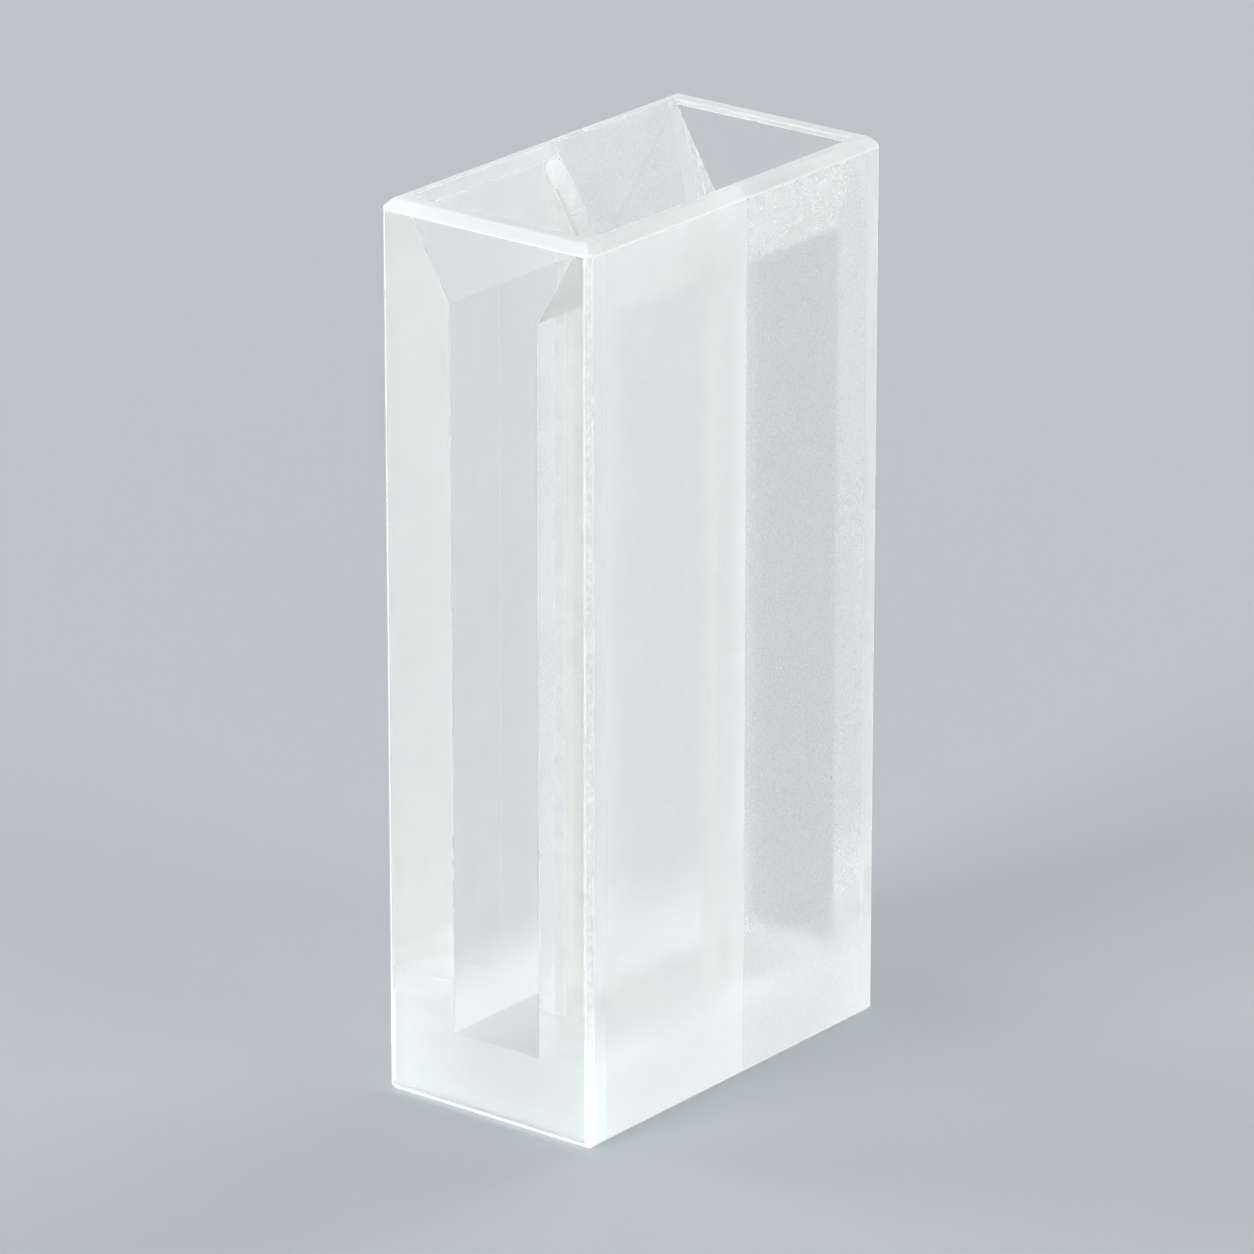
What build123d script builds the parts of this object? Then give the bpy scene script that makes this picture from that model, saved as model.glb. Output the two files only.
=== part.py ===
from build123d import *
import os

# A divided semi-micro cuvette with a 20 mm light path, bonded together from ground and
# polished glass.  Two slotted chambers stand one behind the other along Y, with a partition
# between them, and share one funnel-shaped mouth.
#
# Frame: +Z up, origin at the middle of the underside.  Light passes along Y, through the
# clear end windows.  The faces towards +X and -X are ground.  Millimetres.

# ---- driving dimensions -------------------------------------------------------------
WIDTH = 12.5            # outside, along X: fits the usual cell holder
HEIGHT = 45.0           # outside, along Z
LIGHT_PATH = 20.0       # between the two end windows, along Y
PLATE = 1.25            # glass sheet of the windows, side plates and partition
SLOT_WIDTH = 5.2        # chamber, along X
FLOOR = 3.6             # top of the solid base
KNEE = 40.4             # height at which the funnel starts to open
MOUTH_WIDTH = 10.7      # funnel at the rim, along X

PARTITION_TOP = 44.45   # tips of the partition's two arms
ARM_PROUD = 0.25        # how far the arms stand out of the funnel's slopes, along X
NOTCH_FLOOR = 40.0      # bottom of the partition's notch
NOTCH_RADIUS = 1.0      # inside corners of the notch
TIP_HEIGHT = 1.2        # height over which the arms' tips are rounded off

RIM_BEVEL = 0.5         # outer top edges
FOOT_BEVEL = 0.25       # outer bottom edges
CORNER_BEVEL = 0.3      # upright outer edges

# ---- worked out from them -----------------------------------------------------------
LENGTH = LIGHT_PATH + 2 * PLATE
CORE_WIDTH = WIDTH - 2 * PLATE                       # between the side plates
CHAMBER_LENGTH = (LIGHT_PATH - PLATE) / 2
WINDOW_FACE = LIGHT_PATH / 2                         # inner face of a window, from the middle
PARTITION_FACE = PLATE / 2                           # face of the partition, from the middle
FLARE = (MOUTH_WIDTH - SLOT_WIDTH) / 2 / (HEIGHT - KNEE)   # funnel: X gained for each Z


def funnel_half_width(z):
    """Half the width of the funnel at height z: the slot's, plus the flare above the knee."""
    return SLOT_WIDTH / 2 + (z - KNEE) * FLARE


def block(width, y_low, y_high, height=HEIGHT):
    """A block centred on X, standing on Z = 0, between two Y planes."""
    box = Box(width, y_high - y_low, height, align=(Align.CENTER, Align.MIN, Align.MIN))
    return Pos(0, y_low, 0) * box


def prism_along_y(points, length):
    """A closed outline of (x, z) points, carried along Y and centred on the origin."""
    outline = make_face(Plane.XZ * Polyline(*points, close=True))
    return extrude(outline, amount=length / 2, both=True)


def prism_along_x(points, length):
    """A closed outline of (y, z) points, carried along X and centred on the origin."""
    outline = make_face(Plane.YZ * Polyline(*points, close=True))
    return extrude(outline, amount=length / 2, both=True)


def bevelled_outline(half):
    """An upright section of the outer form, with its rim and foot bevels."""
    right = [
        (half - FOOT_BEVEL, 0),
        (half, FOOT_BEVEL),
        (half, HEIGHT - RIM_BEVEL),
        (half - RIM_BEVEL, HEIGHT),
    ]
    left = [(-across, z) for across, z in reversed(right)]
    return right + left


def outer_form():
    """The outside of the whole cell: all its edges are bevelled after the pieces are bonded."""
    plan = Rectangle(WIDTH, LENGTH)
    plan = chamfer(plan.vertices(), CORNER_BEVEL)
    upright = extrude(plan, amount=HEIGHT)
    across = prism_along_y(bevelled_outline(WIDTH / 2), LENGTH)
    along = prism_along_x(bevelled_outline(LENGTH / 2), WIDTH)
    return upright & across & along


def cavity():
    """The slot with its funnel, as one cutter along the whole light path."""
    above = HEIGHT + 1
    right = [
        (SLOT_WIDTH / 2, FLOOR),
        (SLOT_WIDTH / 2, KNEE),
        (funnel_half_width(above), above),
    ]
    left = [(-across, z) for across, z in reversed(right)]
    return prism_along_y(right + left, LIGHT_PATH)


def window(side):
    """A clear end window: side is -1 for the front one and +1 for the rear one."""
    faces = sorted((side * WINDOW_FACE, side * LENGTH / 2))
    return block(WIDTH, *faces) & outer_form()


def side_plate(side):
    """A ground side plate of the front chamber: it laps past the partition to its rear face."""
    plate = Box(PLATE, WINDOW_FACE + PARTITION_FACE, HEIGHT, align=(Align.CENTER, Align.MIN, Align.MIN))
    plate = Pos(side * (WIDTH - PLATE) / 2, -WINDOW_FACE, 0) * plate
    return (plate & outer_form()) - cavity()


def front_block():
    """The slotted block between the side plates: two cheeks and the base, in one piece."""
    return (block(CORE_WIDTH, -WINDOW_FACE, -PARTITION_FACE) & outer_form()) - cavity()


def rear_block():
    """The slotted block of the rear chamber, as wide as the cell, with the funnel in its top."""
    return (block(WIDTH, PARTITION_FACE, WINDOW_FACE) & outer_form()) - cavity()


def notch():
    """The notch in the partition: it follows the funnel, a little inside its slopes."""
    above = HEIGHT + 1
    right = [
        (funnel_half_width(NOTCH_FLOOR) - ARM_PROUD, NOTCH_FLOOR),
        (funnel_half_width(above) - ARM_PROUD, above),
    ]
    left = [(-across, z) for across, z in reversed(right)]
    cutter = prism_along_y(right + left, 4 * PLATE)
    low_corners = cutter.edges().filter_by(Axis.Y).group_by(Axis.Z)[0]
    return fillet(low_corners, NOTCH_RADIUS)


def partition():
    """The plate between the chambers: two arms up the funnel, with tips rounded in thickness."""
    shoulder = PARTITION_TOP - TIP_HEIGHT
    plate = block(CORE_WIDTH, -PARTITION_FACE, PARTITION_FACE, shoulder)
    rounding = extrude(Plane.YZ * Ellipse(PARTITION_FACE, TIP_HEIGHT), amount=CORE_WIDTH / 2, both=True)
    tips = Pos(0, 0, shoulder) * rounding
    return ((plate + tips) & outer_form()) - notch()


PIECES = {
    "front_window": window(-1),
    "rear_window": window(+1),
    "left_side_plate": side_plate(-1),
    "right_side_plate": side_plate(+1),
    "front_block": front_block(),
    "rear_block": rear_block(),
    "partition": partition(),
}

os.makedirs("parts", exist_ok=True)
for name, piece in PIECES.items():
    export_step(piece, f"parts/{name}.step")
    print(f"{name}: {piece.volume:.1f} cubic mm, {len(piece.solids())} solid")
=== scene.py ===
# %% [markdown]
# # A two-chamber glass cell
# A cuvette is a small glass box that holds a liquid in the light path of a photometer. This one is built
# the way glass shops build them: seven plates and blocks are ground to size, the faces that the light or
# the liquid meets are polished, and the pieces are fused face to face, which hides most of the joints.
# The CAD model gives every piece its size and place. Here each piece is made again as a closed glass body,
# so that light can be traced through it the way it goes through the real one.

# %% Load the frame
import bmesh
import bpy
import numpy as np
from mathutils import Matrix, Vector


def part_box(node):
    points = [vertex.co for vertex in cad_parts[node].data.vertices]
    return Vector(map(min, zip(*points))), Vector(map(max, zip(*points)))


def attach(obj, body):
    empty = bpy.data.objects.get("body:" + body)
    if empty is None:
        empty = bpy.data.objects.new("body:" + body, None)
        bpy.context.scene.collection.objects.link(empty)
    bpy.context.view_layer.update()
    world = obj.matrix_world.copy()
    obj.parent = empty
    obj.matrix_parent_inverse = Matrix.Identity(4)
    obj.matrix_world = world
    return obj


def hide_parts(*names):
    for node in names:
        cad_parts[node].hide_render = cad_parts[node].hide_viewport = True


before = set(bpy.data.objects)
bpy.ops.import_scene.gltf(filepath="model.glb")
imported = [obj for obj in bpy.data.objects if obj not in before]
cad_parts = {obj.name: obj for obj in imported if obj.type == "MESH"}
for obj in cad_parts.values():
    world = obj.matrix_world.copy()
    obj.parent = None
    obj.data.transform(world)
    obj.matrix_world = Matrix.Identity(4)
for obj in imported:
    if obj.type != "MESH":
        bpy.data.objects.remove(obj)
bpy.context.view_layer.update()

# %% [markdown]
# ## The sizes
# The frame gives the outer box of every piece, so the driving sizes are read from it. Only the cuts inside
# a piece, such as the slot's width, and the bevels have no box of their own. They are named in millimetres.

# %% Read the driving sizes
MM = 0.001


def size_mm(node, corner, axis):
    """One coordinate of a piece's box, in millimetres: corner 0 is the lowest and 1 the highest."""
    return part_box(node)[corner][axis] / MM


HALF_WIDTH = size_mm("front_window", 1, 0)
HEIGHT = size_mm("front_window", 1, 2)
HALF_LENGTH = size_mm("rear_window", 1, 1)
PATH_END = size_mm("rear_block", 1, 1)
PARTITION_REAR = size_mm("partition", 1, 1)
BLOCK_EDGE = size_mm("front_block", 1, 0)
PARTITION_TOP = size_mm("partition", 1, 2)

SLOT_EDGE = 2.6
SLOT_FLOOR = 3.6
KNEE = 40.4
MOUTH_EDGE = 5.35
NOTCH_FLOOR = 40.0
ARM_PROUD = 0.25
TIP_HEIGHT = 1.2
RIM_BEVEL = 0.5
FOOT_BEVEL = 0.25
CORNER_BEVEL = 0.3

FLARE = (MOUTH_EDGE - SLOT_EDGE) / (HEIGHT - KNEE)
SLOPE_TOP = KNEE + (BLOCK_EDGE - SLOT_EDGE) / FLARE
print(f"box {2 * HALF_WIDTH:.2f} x {2 * HALF_LENGTH:.2f} x {HEIGHT:.2f} mm")
print(f"the blocks' slopes end at {SLOPE_TOP:.2f} mm")

# %% [markdown]
# ## The joint line
# Two fused faces lie in one plane. A ray tracer can't tell which of two faces in one plane comes first, so
# each piece stops a few thousandths of a millimetre short of the joint's plane, far too little to see.
# The faces on both sides of that line are see-through instead of refracting, because fused glass has the
# same index on both sides and doesn't bend the light.

# %% Set the joint line
JOINT_LINE = 0.005
NEAR = BLOCK_EDGE - JOINT_LINE
PAST = BLOCK_EDGE + JOINT_LINE
print(f"joint line {JOINT_LINE * 1000:.0f} micrometres a side")

# %% [markdown]
# ## Colours and nodes
# Colours are written as sRGB hex values, as a colour chart gives them, and Blender wants linear light.
# One small function adds any shader node, with its settings and its links.

# %% Two helpers for materials


def linear(code):
    """A hex colour as linear RGBA: the sRGB curve undone, channel by channel."""
    value = np.array([int(code[i:i + 2], 16) for i in (1, 3, 5)]) / 255
    light = np.where(value <= 0.04045, value / 12.92, ((value + 0.055) / 1.055) ** 2.4)
    return (*light.tolist(), 1.0)


def add(tree, kind, settings=None, inputs=None):
    """A new node. Settings are its properties. Inputs, by name or index, are values or sockets to link."""
    made = tree.nodes.new(kind)
    for key, value in (settings or {}).items():
        setattr(made, key, value)
    for key, value in (inputs or {}).items():
        if isinstance(value, bpy.types.NodeSocket):
            tree.links.new(value, made.inputs[key])
        else:
            made.inputs[key].default_value = value
    return made


def blank_material(name):
    """A material whose node tree is empty."""
    material = bpy.data.materials.new(name)
    material.use_nodes = True
    material.node_tree.nodes.clear()
    return material


FINISHES = {}
print("mid grey in linear light:", [round(c, 3) for c in linear("#808080")[:3]])

# %% [markdown]
# ## Polished optical glass
# The windows, the slot walls and the funnel slopes are lapped with finer and finer powder, then polished
# with cerium oxide. To the eye they have no surface at all: they show only what lies behind them and, at a
# slant, a mirror image. What a used cell does pick up is fine wipe marks, so the bump is a long thin
# noise, stretched along the height.

# %% Make the polished finish
GLASS_IOR = 1.5
CLEAR = "#FFFFFF"
WIPE_WIDTH_MM = 0.25
WIPE_LENGTH_MM = 6.0
WIPE_DEPTH_MM = 0.01
WIPE_STRENGTH = 0.02


def polished_glass():
    """Clear glass with a trace of wipe marks: noise of one wipe's width across and one wipe's length up."""
    material = blank_material("polished_optical_glass")
    tree = material.node_tree
    place = add(tree, "ShaderNodeTexCoord")
    stretch = add(tree, "ShaderNodeMapping", {}, {
        "Vector": place.outputs["Object"],
        "Scale": (1 / (WIPE_WIDTH_MM * MM), 1 / (WIPE_WIDTH_MM * MM), 1 / (WIPE_LENGTH_MM * MM))})
    wipes = add(tree, "ShaderNodeTexNoise", {}, {"Vector": stretch.outputs[0], "Scale": 1.0, "Detail": 3.0})
    bump = add(tree, "ShaderNodeBump", {}, {
        "Height": wipes.outputs[0], "Strength": WIPE_STRENGTH, "Distance": WIPE_DEPTH_MM * MM})
    glass = add(tree, "ShaderNodeBsdfGlass", {}, {
        "Color": linear(CLEAR), "Roughness": 0.0, "IOR": GLASS_IOR, "Normal": bump.outputs[0]})
    add(tree, "ShaderNodeOutputMaterial", {}, {"Surface": glass.outputs[0]})
    return material


FINISHES["polished"] = polished_glass()
print("made", FINISHES["polished"].name)

# %% [markdown]
# ## Ground glass
# The side walls are left as the grinding wheel or loose grit leaves them. Every grain of grit has broken
# out a tiny pit. The flat ground between the pits still lets a blurred image through, and the walls of the
# pits scatter the light, which the eye sees as white. So the finish is a blend of rough glass and of a
# white that scatters part of the light back and lets part of it through. Three things vary it: the pits, a
# slow cloudiness from the uneven pressure of the lap, and the arrises, where small chips are whiter.
#
# The solid foot is made whiter still. Light from below would fill it with a glow, and a floor gives
# none, so a larger share of scattering stands in for it up to the slot's floor, and fades out above.

# %% Make the ground finishes
CHIP_REACH_MM = 0.35
CHIP_SIZE_MM = 0.3
CHIP_WHITE = 0.15
CHIP_STARTS = 0.45
CHIP_FULL = 0.6
CLOUD_MM = 5.0
CLOUD_WHITE = 0.015
CLOUD_BLUR = 0.15
SPECKLE = 1.2
NOISE_LOW = 0.3
NOISE_HIGH = 0.7
# Painted glow at the foot: extra white that stands in for light from below, and the height where it ends.
FOOT_PAINTED_GLOW = 0.45
PAINTED_GLOW_TOP_MM = 7.5
FROST_WHITE = "#FDFFFF"


def arris_wear(tree, place):
    """1 along the outer arrises and 0 away from them.

    A point's distances to the outer faces along X, Y and Z are taken. On the surface the smallest is
    nought, and the middle one is the distance to the nearest arris. It is turned into 1 to 0 over the reach
    of the chips, and broken up by noise of their size.
    """
    parts = add(tree, "ShaderNodeSeparateXYZ", {}, {0: place.outputs["Object"]})
    across = add(tree, "ShaderNodeMath", {"operation": "ABSOLUTE"}, {0: parts.outputs[0]})
    along = add(tree, "ShaderNodeMath", {"operation": "ABSOLUTE"}, {0: parts.outputs[1]})
    middle = add(tree, "ShaderNodeMath", {"operation": "SUBTRACT"}, {
        0: parts.outputs[2], 1: HEIGHT * MM / 2})
    upright = add(tree, "ShaderNodeMath", {"operation": "ABSOLUTE"}, {0: middle.outputs[0]})
    gaps = [
        add(tree, "ShaderNodeMath", {"operation": "SUBTRACT"}, {
            0: reach * MM, 1: part.outputs[0]}).outputs[0]
        for reach, part in ((HALF_WIDTH, across), (HALF_LENGTH, along), (HEIGHT / 2, upright))]
    low = add(tree, "ShaderNodeMath", {"operation": "MINIMUM"}, {0: gaps[0], 1: gaps[1]})
    high = add(tree, "ShaderNodeMath", {"operation": "MAXIMUM"}, {0: gaps[0], 1: gaps[1]})
    inner = add(tree, "ShaderNodeMath", {"operation": "MINIMUM"}, {0: high.outputs[0], 1: gaps[2]})
    second = add(tree, "ShaderNodeMath", {"operation": "MAXIMUM"}, {0: low.outputs[0], 1: inner.outputs[0]})
    edge = add(tree, "ShaderNodeMapRange", {}, {
        0: second.outputs[0], 1: 0.0, 2: CHIP_REACH_MM * MM, 3: 1.0, 4: 0.0})
    chips = add(tree, "ShaderNodeTexNoise", {}, {
        "Vector": place.outputs["Object"], "Scale": 1 / (CHIP_SIZE_MM * MM), "Detail": 4.0})
    worn = add(tree, "ShaderNodeMapRange", {}, {
        0: chips.outputs[0], 1: CHIP_STARTS, 2: CHIP_FULL, 3: 0.0, 4: 1.0})
    return add(tree, "ShaderNodeMath", {"operation": "MULTIPLY"}, {0: edge.outputs[0], 1: worn.outputs[0]})


# Painted glow: white that stands in for light from below, which a floor doesn't give.
def painted_foot_glow(tree, place, strength):
    """strength up to the slot's floor, then a smooth fall to 0 a few millimetres above it."""
    parts = add(tree, "ShaderNodeSeparateXYZ", {}, {0: place.outputs["Object"]})
    return add(tree, "ShaderNodeMapRange", {"interpolation_type": "SMOOTHSTEP"}, {
        0: parts.outputs[2], 1: SLOT_FLOOR * MM, 2: PAINTED_GLOW_TOP_MM * MM, 3: strength, 4: 0.0})


def ground_glass(name, grit_mm, blur, white, pit_depth, through_share):
    """Glass ground with one grit: rough glass and scattering white, blended by the share of pitted ground.

    share = white + cloudiness + speckle + arris wear + painted foot glow, held between 0 and 1. The pits
    are noise of the grit's size, used as bump and as speckle. The slow clouds vary the share of white and
    the blur.
    Of the scattered light, through_share goes on and the rest comes back.
    """
    material = blank_material(name)
    tree = material.node_tree
    place = add(tree, "ShaderNodeTexCoord")
    grains = add(tree, "ShaderNodeTexNoise", {}, {
        "Vector": place.outputs["Object"], "Scale": 1 / (grit_mm * MM), "Detail": 2.0})
    clouds = add(tree, "ShaderNodeTexNoise", {}, {
        "Vector": place.outputs["Object"], "Scale": 1 / (CLOUD_MM * MM), "Detail": 4.0, "Roughness": 0.6})
    wear = arris_wear(tree, place)
    cloudy = add(tree, "ShaderNodeMapRange", {}, {
        0: clouds.outputs[0], 1: NOISE_LOW, 2: NOISE_HIGH, 3: white - CLOUD_WHITE, 4: white + CLOUD_WHITE})
    speckled = add(tree, "ShaderNodeMapRange", {}, {
        0: grains.outputs[0], 1: NOISE_LOW, 2: NOISE_HIGH, 3: -SPECKLE * pit_depth, 4: SPECKLE * pit_depth})
    pitted = add(tree, "ShaderNodeMath", {"operation": "ADD"}, {
        0: cloudy.outputs[0], 1: speckled.outputs[0]})
    worn = add(tree, "ShaderNodeMath", {"operation": "MULTIPLY_ADD"}, {
        0: wear.outputs[0], 1: CHIP_WHITE, 2: pitted.outputs[0]})
    # Painted glow at the foot, standing in for light from below.
    foot_glow = painted_foot_glow(tree, place, FOOT_PAINTED_GLOW)
    share = add(tree, "ShaderNodeMath", {"operation": "ADD", "use_clamp": True}, {
        0: worn.outputs[0], 1: foot_glow.outputs[0]})
    bump = add(tree, "ShaderNodeBump", {}, {
        "Height": grains.outputs[0], "Strength": 1.0, "Distance": grit_mm * MM * pit_depth})
    rough = add(tree, "ShaderNodeMapRange", {}, {
        0: clouds.outputs[0], 1: NOISE_LOW, 2: NOISE_HIGH,
        3: blur * (1 - CLOUD_BLUR), 4: blur * (1 + CLOUD_BLUR)})
    glass = add(tree, "ShaderNodeBsdfGlass", {}, {
        "Color": linear(CLEAR), "Roughness": rough.outputs[0], "IOR": GLASS_IOR,
        "Normal": bump.outputs[0]})
    back = add(tree, "ShaderNodeBsdfDiffuse", {}, {"Color": linear(FROST_WHITE), "Normal": bump.outputs[0]})
    through = add(tree, "ShaderNodeBsdfTranslucent", {}, {
        "Color": linear(FROST_WHITE), "Normal": bump.outputs[0]})
    scatter = add(tree, "ShaderNodeMixShader", {}, {
        0: through_share, 1: back.outputs[0], 2: through.outputs[0]})
    blend = add(tree, "ShaderNodeMixShader", {}, {
        0: share.outputs[0], 1: glass.outputs[0], 2: scatter.outputs[0]})
    add(tree, "ShaderNodeOutputMaterial", {}, {"Surface": blend.outputs[0]})
    return material


# The real grit leaves pits of 0.01 to 0.03 mm, too fine to show, so they are drawn several times as coarse.
# Each row: name, grit in mm, blur, share of white, the pits' depth against their width, share let through.
GROUND = {
    "fine_ground": ("fine_ground_glass", 0.05, 0.2, 0.35, 0.006, 0.55),
    "coarse_ground": ("coarse_ground_glass", 0.09, 0.2, 0.28, 0.03, 0.6),
    "sawn_edge": ("ground_edge_glass", 0.07, 0.3, 0.6, 0.02, 0.5),
    "notch_ground": ("hand_ground_notch_glass", 0.06, 0.3, 0.85, 0.015, 0.5),
    "lapped_foot": ("lapped_foot_glass", 0.07, 0.35, 0.98, 0.03, 0.02)}
for key, values in GROUND.items():
    FINISHES[key] = ground_glass(*values)
print("made", [FINISHES[key].name for key in GROUND])

# %% [markdown]
# ## Fused joints
# A good joint between two polished faces can't be seen. A joint against a ground face keeps some of its
# pits and a trace of gas, and stays milky: it lets part of the light straight on and scatters the rest.
# The partition sits between two such joints. At the rear ends of the side plates the haze is thickest, and
# shows as the bright seam on the outside walls. The window joints are nearly clear, and a painted glow
# makes them whiter at the foot, as on the ground faces: white that stands in for light from below.

# %% Make the joint finishes
PATCH_MM = 1.0
PATCH_SWING = 0.1
COLD_WHITE = "#FCFFFF"
WARM_WHITE = "#FEFDF7"


def fused_joint(name, haze, tint, foot_glow_share=0.0):
    """A see-through face that scatters a share of the light, patchy on the scale of PATCH_MM.

    share = haze x patches + painted foot glow x fall, where fall goes smoothly from 1 at the slot's floor
    to 0 a few millimetres above it. The foot glow stands in for light from below. Half of the scattered
    light comes back and half goes on.
    """
    material = blank_material(name)
    tree = material.node_tree
    clear = add(tree, "ShaderNodeBsdfTransparent")
    if not haze:
        add(tree, "ShaderNodeOutputMaterial", {}, {"Surface": clear.outputs[0]})
        return material
    place = add(tree, "ShaderNodeTexCoord")
    patches = add(tree, "ShaderNodeTexNoise", {}, {
        "Vector": place.outputs["Object"], "Scale": 1 / (PATCH_MM * MM), "Detail": 3.0})
    share = add(tree, "ShaderNodeMapRange", {}, {
        0: patches.outputs[0], 1: NOISE_LOW, 2: NOISE_HIGH,
        3: haze * (1 - PATCH_SWING), 4: haze * (1 + PATCH_SWING)})
    fall = painted_foot_glow(tree, place, foot_glow_share)
    total = add(tree, "ShaderNodeMath", {"operation": "ADD", "use_clamp": True}, {
        0: share.outputs[0], 1: fall.outputs[0]})
    back = add(tree, "ShaderNodeBsdfDiffuse", {}, {"Color": linear(tint)})
    through = add(tree, "ShaderNodeBsdfTranslucent", {}, {"Color": linear(tint)})
    scatter = add(tree, "ShaderNodeMixShader", {}, {0: 0.5, 1: back.outputs[0], 2: through.outputs[0]})
    blend = add(tree, "ShaderNodeMixShader", {}, {
        0: total.outputs[0], 1: clear.outputs[0], 2: scatter.outputs[0]})
    add(tree, "ShaderNodeOutputMaterial", {}, {"Surface": blend.outputs[0]})
    return material


FINISHES["clear_joint"] = fused_joint("clear_fused_joint", 0.0, COLD_WHITE)
# The window joints: nearly clear, with painted glow at the foot that stands in for light from below.
FINISHES["bloomed_joint"] = fused_joint("fused_joint_painted_foot_glow", 0.02, COLD_WHITE, 0.9)
FINISHES["hazy_joint"] = fused_joint("hazy_fused_joint", 0.45, WARM_WHITE)
FINISHES["milky_joint"] = fused_joint("milky_fused_joint", 0.9, COLD_WHITE)
print("made", [FINISHES[key].name for key in FINISHES if key.endswith("joint")])

# %% [markdown]
# ## A profile carried along a path
# Glass plates and slotted blocks are ground with straight passes, so each has one profile from end to end.
# That is how they are made here too: a row of profile points is repeated at each station of a path, and
# the whole grid is worked out at once. Two neighbouring rows are joined by four-sided faces.
# Each run of faces then takes the finish of its side of the profile.

# %% Grid and mesh helpers


def mirrored(points):
    """The profile's right half followed by its mirror image in X, in one loop."""
    half = np.array(points, float)
    return np.concatenate([half, half[::-1] * (-1, 1)])


def along_y(profile, stations):
    """Grid of points: profile (x, z) stays the same, and y takes each station's value in turn."""
    grid = np.empty((len(stations), len(profile), 3))
    grid[:, :, 0] = profile[:, 0]
    grid[:, :, 1] = np.array(stations)[:, None]
    grid[:, :, 2] = profile[:, 1]
    return grid


def ring_faces(grid):
    """The four-sided faces of a grid whose rows are closed rings.

    The corners of a face are (k, i), (k, i + 1), (k + 1, i + 1) and (k + 1, i), and i wraps round.
    """
    index = np.arange(grid.shape[0] * grid.shape[1]).reshape(grid.shape[:2])
    turned = np.roll(index, -1, 1)
    return np.stack([index[:-1], turned[:-1], turned[1:], index[1:]], -1).reshape(-1, 4)


class Body:
    """Vertices, faces and one finish name for each face, gathered for one piece of glass."""

    def __init__(self):
        self.points = np.empty((0, 3))
        self.faces = []
        self.finishes = []

    def add_grid(self, grid, finishes):
        """Adds a grid of rings; finishes has a row for each gap between rings, or one row for them all."""
        table = np.broadcast_to(np.array(finishes), (grid.shape[0] - 1, grid.shape[1]))
        self.faces += (ring_faces(grid) + len(self.points)).tolist()
        self.finishes += table.reshape(-1).tolist()
        self.points = np.concatenate([self.points, grid.reshape(-1, 3)])

    def add_face(self, points, finish):
        """Adds one flat face with any number of corners."""
        self.faces.append(list(range(len(self.points), len(self.points) + len(points))))
        self.finishes.append(finish)
        self.points = np.concatenate([self.points, np.array(points, float)])

    def cap(self, grid, row, finish):
        """Closes a grid's first (0) or last (-1) ring with one flat face."""
        self.add_face(grid[row], finish)


ARRIS_MM = 0.05
JOINT_ARRIS = 0.6
SHARP_DEGREES = 20
MERGE_MM = 0.0001
SLIVER_MM = 0.00001


def arris_weights(mesh_data, names):
    """How much each edge is eased: 1 on a convex arris of a ground face, less where polish meets a joint.

    All other edges stay sharp, such as the funnel's knee, which lies between two polished faces.
    """
    joints = [i for i, name in enumerate(names) if name.endswith("joint")]
    polished = [i for i, name in enumerate(names) if name == "polished"]
    weights = []
    for edge in mesh_data.edges:
        kinds = [face.material_index for face in edge.link_faces]
        sharp = edge.is_convex and edge.calc_face_angle(0.0) > np.radians(SHARP_DEGREES)
        joined = any(kind in joints for kind in kinds)
        free = not joined and not all(kind in polished for kind in kinds)
        lip = joined and any(kind in polished for kind in kinds)
        weights.append(float(sharp) if free else JOINT_ARRIS * (sharp and lip))
    return weights


def make_piece(name, body, eased=True):
    """Turns a Body into a mesh object in the frame, closed, facing outwards, its arrises slightly eased."""
    names = sorted(set(body.finishes)) + ["sawn_edge"] * ("sawn_edge" not in body.finishes)
    mesh = bpy.data.meshes.new(name)
    mesh.from_pydata((body.points * MM).tolist(), [], body.faces)
    for finish in names:
        mesh.materials.append(FINISHES[finish])
    mesh.polygons.foreach_set("material_index", [names.index(finish) for finish in body.finishes])
    work = bmesh.new()
    work.from_mesh(mesh)
    bmesh.ops.remove_doubles(work, verts=work.verts, dist=MERGE_MM * MM)
    bmesh.ops.dissolve_degenerate(work, edges=work.edges, dist=SLIVER_MM * MM)
    bmesh.ops.recalc_face_normals(work, faces=work.faces)
    weights = arris_weights(work, names)
    open_edges = sum(len(edge.link_faces) != 2 for edge in work.edges)
    volume = work.calc_volume() / MM ** 3
    work.to_mesh(mesh)
    work.free()
    mesh.attributes.new("bevel_weight_edge", "FLOAT", "EDGE").data.foreach_set("value", weights)
    piece = bpy.data.objects.new(name, mesh)
    bpy.context.scene.collection.objects.link(piece)
    if eased:
        ease = piece.modifiers.new("eased_arrises", "BEVEL")
        ease.limit_method = "WEIGHT"
        ease.width = ARRIS_MM * MM
        ease.segments = 2
        ease.material = names.index("sawn_edge")
    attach(piece, "root")
    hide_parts(name)
    print(f"{name}: {len(mesh.polygons)} faces, {open_edges} open edges, {volume:.1f} cubic mm")
    return piece


# %% [markdown]
# ## The windows
# Two plates, polished on both faces, close the ends. Their outer edges are ground flush with the walls
# and bevelled all round, so the profile shrinks over the last fraction of a millimetre: each ring is the
# outline with its sides, rim and foot drawn in by the bevel that is left at that depth. Only the area over
# the slot and the funnel is a free polished surface inside. The rest is fused to the pieces behind it.

# %% Make the windows


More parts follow.
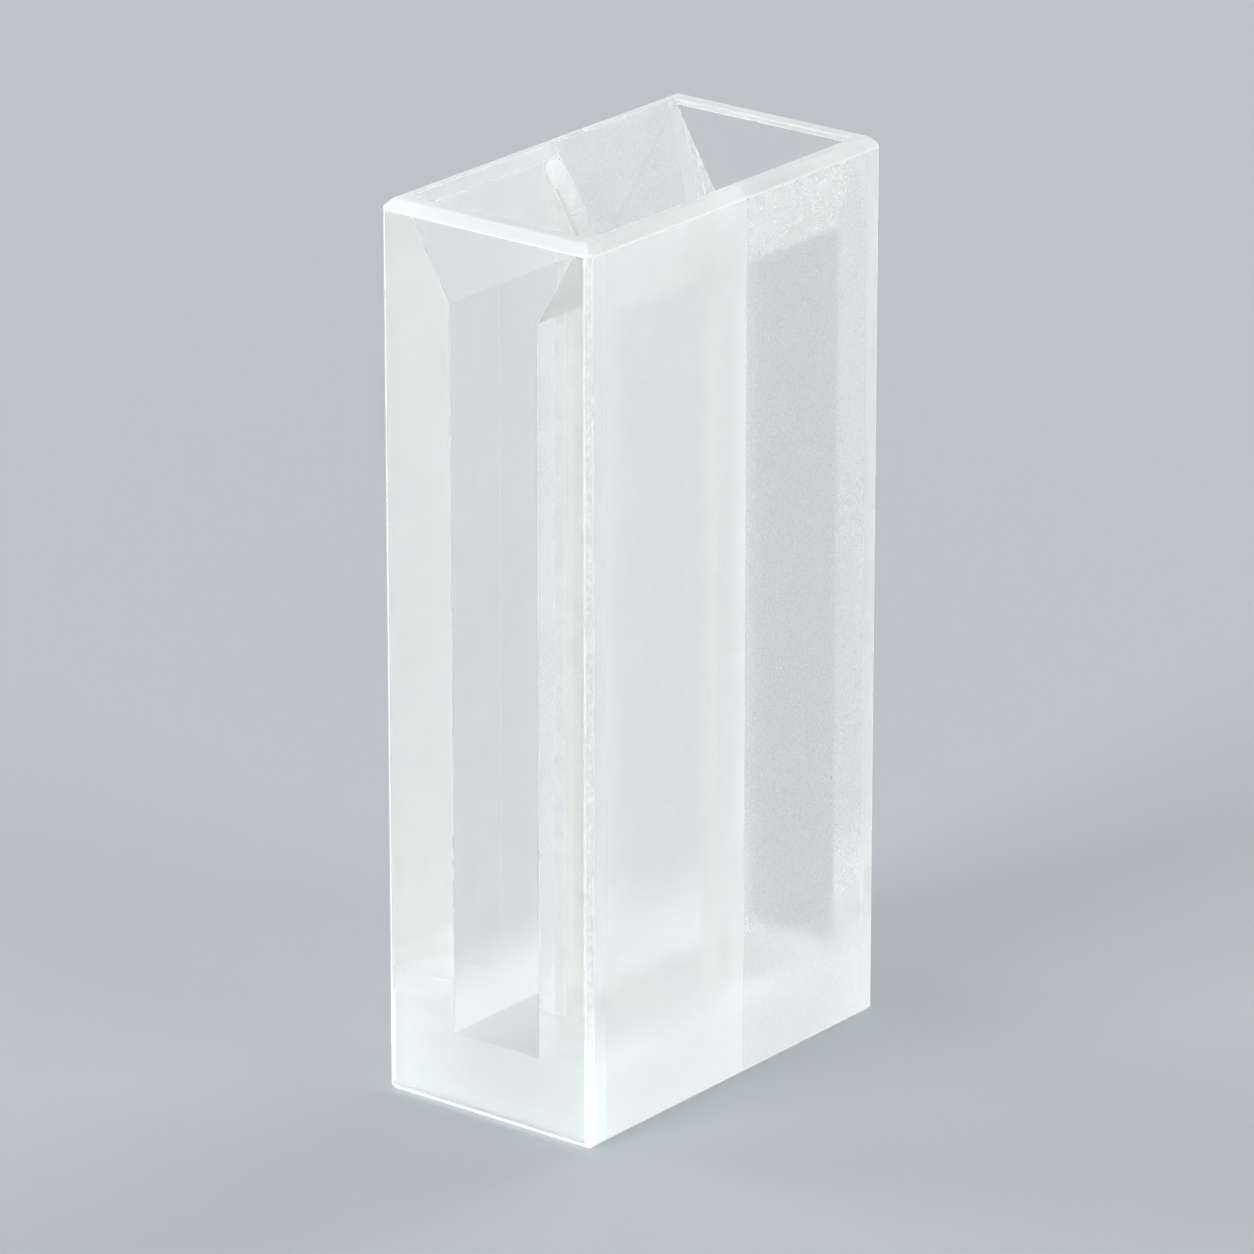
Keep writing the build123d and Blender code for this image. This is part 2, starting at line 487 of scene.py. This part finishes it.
def outline_half(depth):
    """Right half of the outline at a depth under the window's face, from the foot up to the rim.

    side, rim and foot are drawn in by bevel - depth, and never less than nought, so each bevel runs at 45
    degrees. The upright and level bevels cut each other on a slant line, which moves both of its corners.
    """
    side = max(0.0, CORNER_BEVEL - depth)
    rim = max(0.0, RIM_BEVEL - depth)
    foot = max(0.0, FOOT_BEVEL - depth)
    edge = HALF_WIDTH - side
    top = HEIGHT - rim
    rim_x = min(edge, HALF_WIDTH - RIM_BEVEL + rim)
    rim_z = min(top, HEIGHT - RIM_BEVEL + side)
    foot_x = min(edge, HALF_WIDTH - FOOT_BEVEL + foot)
    foot_z = max(foot, FOOT_BEVEL - side)
    return [(foot_x, foot), (edge, foot_z), (edge, rim_z), (rim_x, top), (min(MOUTH_EDGE, rim_x), top)]


def window(side, name):
    """A window plate: its outline carried outwards through the depths at which a bevel starts or ends."""
    inner = PATH_END + JOINT_LINE
    depths = [HALF_LENGTH - inner, RIM_BEVEL, CORNER_BEVEL, FOOT_BEVEL, 0.0]
    grid = np.concatenate([
        along_y(mirrored(outline_half(depth)), [side * (HALF_LENGTH - depth)]) for depth in depths])
    edges = ["sawn_edge", "fine_ground"] + ["sawn_edge"] * 5 + ["fine_ground", "sawn_edge", "lapped_foot"]
    body = Body()
    body.add_grid(grid, edges)
    body.cap(grid, -1, "polished")
    slot = mirrored([(SLOT_EDGE, KNEE), (SLOT_EDGE, SLOT_FLOOR)])
    ring = grid[0]
    cut = along_y(slot, [side * inner])[0]
    half = len(ring) // 2
    # The joint round the slot carries the painted glow at its foot.
    body.add_face(np.concatenate([ring[:half], cut, ring[half:]]), "bloomed_joint")
    body.add_face(np.concatenate([ring[half - 1:half], cut, ring[half:half + 1]]), "polished")
    return make_piece(name, body)


for side, name in ((-1, "front_window"), (1, "rear_window")):
    window(side, name)

# %% [markdown]
# ## The side plates
# A plate on each side carries the ground outer wall of the front chamber and overlaps the partition's ends.
# Its profile is a tall strip with the foot bevel, the rim bevel and the top of the funnel slope.

# %% Make the side plates


def side_plate(side, name):
    """A plate along one wall: a seven-cornered profile carried from the front window to the rear block."""
    profile = np.array([
        (PAST, 0), (HALF_WIDTH - FOOT_BEVEL, 0), (HALF_WIDTH, FOOT_BEVEL), (HALF_WIDTH, HEIGHT - RIM_BEVEL),
        (HALF_WIDTH - RIM_BEVEL, HEIGHT), (MOUTH_EDGE, HEIGHT), (PAST, SLOPE_TOP + JOINT_LINE / FLARE)])
    grid = along_y(profile * (side, 1), [-PATH_END + JOINT_LINE, PARTITION_REAR - JOINT_LINE])
    edges = ["lapped_foot", "sawn_edge", "fine_ground", "sawn_edge", "sawn_edge", "polished", "clear_joint"]
    body = Body()
    body.add_grid(grid, edges)
    body.cap(grid, 0, "clear_joint")
    body.cap(grid, -1, "milky_joint")
    return make_piece(name, body)


for side, name in ((-1, "left_side_plate"), (1, "right_side_plate")):
    side_plate(side, name)

# %% [markdown]
# ## The slotted blocks
# A saw cuts each block to a U, and the cut is polished: its walls touch the liquid. The front block is
# narrower, because the side plates stand beside it. The rear block is as wide as the cell, with a
# coarser ground outside.

# %% Make the blocks


def slotted_block(name, right_half, finishes, stations, ends):
    """A U-shaped block: the right half of its profile is mirrored, then carried between two stations."""
    grid = along_y(mirrored(right_half), stations)
    body = Body()
    body.add_grid(grid, finishes)
    body.cap(grid, 0, ends[0])
    body.cap(grid, -1, ends[1])
    return make_piece(name, body)


CUT = [(SLOT_EDGE, KNEE), (SLOT_EDGE, SLOT_FLOOR)]
slotted_block(
    "front_block",
    [(NEAR, 0), (NEAR, SLOPE_TOP - JOINT_LINE / FLARE)] + CUT,
    ["clear_joint"] + ["polished"] * 5 + ["clear_joint", "lapped_foot"],
    [-PATH_END + JOINT_LINE, -PARTITION_REAR - JOINT_LINE],
    ["clear_joint", "hazy_joint"])
slotted_block(
    "rear_block",
    [(HALF_WIDTH - FOOT_BEVEL, 0), (HALF_WIDTH, FOOT_BEVEL), (HALF_WIDTH, HEIGHT - RIM_BEVEL),
     (HALF_WIDTH - RIM_BEVEL, HEIGHT), (MOUTH_EDGE, HEIGHT)] + CUT,
    ["sawn_edge", "coarse_ground", "sawn_edge", "sawn_edge"] + ["polished"] * 5
    + ["sawn_edge", "sawn_edge", "coarse_ground", "sawn_edge", "lapped_foot"],
    [PARTITION_REAR + JOINT_LINE, PATH_END - JOINT_LINE],
    ["hazy_joint", "clear_joint"])

# %% [markdown]
# ## The partition
# A plate stands across the middle and divides the two chambers. A wide notch is ground out of its top, and
# what is left of it beside the notch stands a little proud of the funnel slopes, as a thin arm with a
# rounded tip. The notch's edge was ground by hand and its front edge is lightly chipped, so that edge is
# moved in and out by a fixed random amount at each level.

# %% Make the partition
ARM_LEVELS = 64
TIP_LEVELS = 12
CHIP_MM = 0.025
chance = np.random.default_rng(7)


def arm_thickness(levels):
    """Half the arm's thickness: full up to the tip, then a quarter ellipse down to nothing at the top."""
    into_tip = np.clip((levels - PARTITION_TOP + TIP_HEIGHT) / TIP_HEIGHT, 0, 1)
    return PARTITION_REAR * np.sqrt(1 - into_tip ** 2)


def arm_rings(side):
    """Six points round the arm's section at each level: notch edge, slope line and end, front then rear."""
    tip = PARTITION_TOP - TIP_HEIGHT
    straight = np.linspace(NOTCH_FLOOR, tip, ARM_LEVELS)
    rounded = tip + TIP_HEIGHT * np.sin(np.linspace(0, np.pi / 2, TIP_LEVELS)[1:])
    levels = np.concatenate([straight, rounded])
    notch = SLOT_EDGE + (levels - KNEE) * FLARE - ARM_PROUD
    slope = np.minimum(SLOT_EDGE + np.maximum(0, (levels - KNEE) * FLARE), NEAR)
    thick = arm_thickness(levels)
    chips = CHIP_MM * chance.random(len(levels)) ** 2
    chips[[0, -1]] = 0
    x = np.stack([notch + chips, slope, np.full_like(levels, NEAR)], 1)
    x = np.concatenate([x, x[:, ::-1]], 1)
    x[:, 5] = notch
    y = thick[:, None] * np.array([-1, -1, -1, 1, 1, 1])
    y[:, 0] += np.minimum(chips, thick)
    z = np.broadcast_to(levels[:, None], x.shape)
    return np.stack([side * x, y, z], -1)


def partition():
    """The dividing plate: a twelve-point section carried up to the notch, and a six-point arm each side."""
    notch_x = SLOT_EDGE + (NOTCH_FLOOR - KNEE) * FLARE - ARM_PROUD
    half = np.array([-NEAR, -SLOT_EDGE, -notch_x, notch_x, SLOT_EDGE, NEAR])
    section = np.concatenate([
        np.stack([half, np.full(6, -PARTITION_REAR)], 1),
        np.stack([half[::-1], np.full(6, PARTITION_REAR)], 1)])
    grid = np.empty((3, 12, 3))
    grid[:, :, :2] = section
    grid[:, :, 2] = np.array([0, SLOT_FLOOR, NOTCH_FLOOR])[:, None]
    joined = ["clear_joint"] * 12
    front = ["clear_joint"] + ["polished"] * 3 + ["clear_joint"]
    between = front + ["clear_joint"] + front + ["clear_joint"]
    body = Body()
    body.add_grid(grid, [joined, between])
    body.cap(grid, 0, "lapped_foot")
    body.add_face(grid[2, [2, 3, 8, 9]], "notch_ground")
    for side in (1, -1):
        rings = arm_rings(side)
        low = ["polished", "clear_joint", "clear_joint", "clear_joint", "polished", "notch_ground"]
        table = [low] * (ARM_LEVELS - 1) + [["notch_ground"] * 6] * (len(rings) - ARM_LEVELS)
        body.add_grid(rings, table)
    return make_piece("partition", body, eased=False)


partition()

# %% [markdown]
# ## Floor and light
# Glass shows what is round it, so the setting is part of its look. The floor is one pale grey, and the
# same grey is what the camera sees beyond the floor's edge. Four wide soft lamps stand low round the cell,
# and the sky is brighter near the horizon than overhead. So most light comes in from the sides, through
# the windows and the walls, and the frosted glass looks brighter than the floor it stands on.

# %% Make the floor
FLOOR_GREY = "#BCC2C5"
FLOOR_HALF = 3.0
FLOOR_DROP_MM = 0.01
PAPER_ROUGHNESS = 0.85
PAPER_SHEEN = 0.15


def floor():
    """A square sheet of matt paper, a hair under the cell's foot, FLOOR_HALF metres to each side."""
    mesh = bpy.data.meshes.new("floor")
    square = np.array([(-1, -1, 0), (1, -1, 0), (1, 1, 0), (-1, 1, 0)])
    corners = square * FLOOR_HALF - (0, 0, FLOOR_DROP_MM * MM)
    mesh.from_pydata(corners.tolist(), [], [(0, 1, 2, 3)])
    sheet = bpy.data.objects.new("floor", mesh)
    bpy.context.scene.collection.objects.link(sheet)
    paper = blank_material("matt_backdrop_paper")
    tree = paper.node_tree
    matt = add(tree, "ShaderNodeBsdfPrincipled", {}, {
        "Base Color": linear(FLOOR_GREY), "Roughness": PAPER_ROUGHNESS, "Specular IOR Level": PAPER_SHEEN})
    add(tree, "ShaderNodeOutputMaterial", {}, {"Surface": matt.outputs[0]})
    mesh.materials.append(paper)


floor()
print("floor grey in linear light:", [round(c, 3) for c in linear(FLOOR_GREY)[:3]])

# %% Set the world and the lamps
HORIZON_LEVEL = 2.2
ZENITH_LEVEL = 0.3
SKY_WHITE = "#F8FCFD"
LAMP_SIZE = 0.52
# Each lamp's place in metres and its power in watts.
LAMPS = {
    "front_lamp": ((-0.20, -1.10, 0.20), 12.0),
    "left_lamp": ((-1.10, -0.28, 0.20), 6.0),
    "right_lamp": ((1.10, 0.10, 0.20), 4.4),
    "rear_lamp": ((0.10, 1.10, 0.20), 8.0)}


def studio_world():
    """A bright band round the horizon that fades upwards, and the floor's grey for the camera itself.

    level = zenith + (horizon - zenith) x (1 - height)^2, where height is the sine of the angle above level.
    """
    world = bpy.data.worlds.new("studio")
    bpy.context.scene.world = world
    world.use_nodes = True
    tree = world.node_tree
    tree.nodes.clear()
    way = add(tree, "ShaderNodeTexCoord")
    parts = add(tree, "ShaderNodeSeparateXYZ", {}, {0: way.outputs["Generated"]})
    height = add(tree, "ShaderNodeMath", {"operation": "ABSOLUTE"}, {0: parts.outputs[2]})
    low = add(tree, "ShaderNodeMath", {"operation": "SUBTRACT"}, {0: 1.0, 1: height.outputs[0]})
    band = add(tree, "ShaderNodeMath", {"operation": "POWER"}, {0: low.outputs[0], 1: 2.0})
    level = add(tree, "ShaderNodeMath", {"operation": "MULTIPLY_ADD"}, {
        0: band.outputs[0], 1: HORIZON_LEVEL - ZENITH_LEVEL, 2: ZENITH_LEVEL})
    light = add(tree, "ShaderNodeBackground", {}, {
        "Color": linear(SKY_WHITE), "Strength": level.outputs[0]})
    backdrop = add(tree, "ShaderNodeBackground", {}, {"Color": linear(FLOOR_GREY), "Strength": 1.0})
    path = add(tree, "ShaderNodeLightPath")
    both = add(tree, "ShaderNodeMixShader", {}, {
        0: path.outputs["Is Camera Ray"], 1: light.outputs[0], 2: backdrop.outputs[0]})
    add(tree, "ShaderNodeOutputWorld", {}, {"Surface": both.outputs[0]})


def soft_lamp(name, place, size, power):
    """A square lamp at a place in metres, turned to the middle of the cell."""
    data = bpy.data.lights.new(name, "AREA")
    data.shape = "SQUARE"
    data.size = size
    data.energy = power
    lamp = bpy.data.objects.new(name, data)
    bpy.context.scene.collection.objects.link(lamp)
    lamp.location = place
    aim = Vector((0, 0, HEIGHT * MM / 2)) - lamp.location
    lamp.rotation_euler = aim.to_track_quat("-Z", "Y").to_euler()


studio_world()
for name, (place, power) in LAMPS.items():
    soft_lamp(name, place, LAMP_SIZE, power)
print("lamps:", list(LAMPS))

# %% [markdown]
# ## The camera
# A long lens, a little above the rim, looks at the corner between a window and a ground wall. The long lens
# keeps the uprights nearly parallel.

# %% Set the camera
AZIMUTH = np.radians(38.2)
ELEVATION = np.radians(20.1)
DISTANCE = 0.426
LENS_MM = 254.7
CLIP_START = 0.01
TARGET = Vector((-0.0004, 0.0, 0.0218))

lens = bpy.data.cameras.new("camera")
lens.lens = LENS_MM
lens.clip_start = CLIP_START
camera = bpy.data.objects.new("camera", lens)
bpy.context.scene.collection.objects.link(camera)
back = Vector((
    np.sin(AZIMUTH) * np.cos(ELEVATION), -np.cos(AZIMUTH) * np.cos(ELEVATION), np.sin(ELEVATION)))
camera.location = TARGET + DISTANCE * back
camera.rotation_euler = (-back).to_track_quat("-Z", "Y").to_euler()
bpy.context.scene.camera = camera
print("camera at", [round(c, 3) for c in camera.location])

# %% [markdown]
# ## Light through many faces
# A ray that zigzags down a wall crosses joints and bounces many times before it leaves. The limits on the
# number of crossings are raised, because a ray that is cut short comes back black.

# %% Set the view and the ray limits
scene = bpy.context.scene
scene.view_settings.view_transform = "Standard"
scene.cycles.max_bounces = 32
scene.cycles.transmission_bounces = 24
scene.cycles.diffuse_bounces = 12
scene.cycles.glossy_bounces = 12
scene.cycles.transparent_max_bounces = 64
